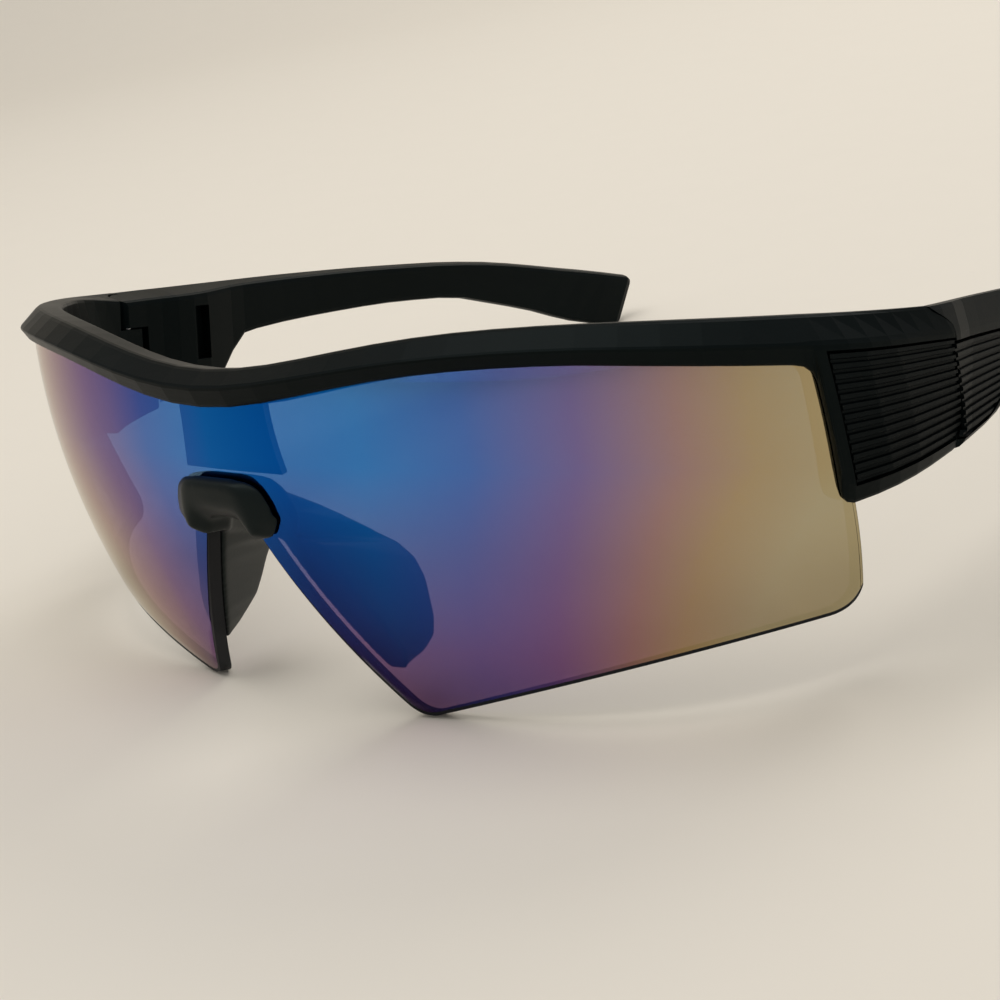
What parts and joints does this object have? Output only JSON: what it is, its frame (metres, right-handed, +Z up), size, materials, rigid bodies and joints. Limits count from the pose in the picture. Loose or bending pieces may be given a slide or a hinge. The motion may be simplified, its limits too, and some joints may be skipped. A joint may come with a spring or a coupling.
{
  "type": "wraparound sunglasses",
  "caption": "Wraparound sports sunglasses: a mirrored toric shield lens under a half frame, with ribbed grips, a nose piece and folding temples.",
  "frame": {"origin": "under the middle of the glasses, on the table that the lens corners and the temple tips rest on", "axes": "+X towards the wearer's left, +Y back along the temples, +Z up"},
  "size_m": [0.1432, 0.1594, 0.0478],
  "materials": {
    "frame_black": "matte soft-touch black",
    "grip_black": "matte ribbed black",
    "rubber_black": "matte black",
    "mirror_blue": "smoke polycarbonate with a blue to violet mirror coating",
    "screw_steel": "plain steel",
    "insert_brass": "plain turned brass"
  },
  "bodies": {
    "front": {"front_frame": "frame_black", "shield_lens": "mirror_blue", "nose_piece": "rubber_black", "left_end_grip": "grip_black", "right_end_grip": "grip_black", "left_hinge_screw": "screw_steel", "right_hinge_screw": "screw_steel", "left_hinge_insert": "insert_brass", "right_hinge_insert": "insert_brass"},
    "temple_left": {"left_temple": "frame_black", "left_temple_grip": "grip_black"},
    "temple_right": {"right_temple": "frame_black", "right_temple_grip": "grip_black"}
  },
  "joints": [
    {"name": "left_temple_fold", "type": "hinge", "parent": "front", "child": "temple_left", "pos_m": [0.0665, -0.03379, 0.04008], "axis": [0, 0.2425, 0.9701], "range_deg": [0, 88]},
    {"name": "right_temple_fold", "type": "hinge", "parent": "front", "child": "temple_right", "pos_m": [-0.0665, -0.03379, 0.04008], "axis": [0, -0.2425, -0.9701], "range_deg": [0, 80]}
  ]
}
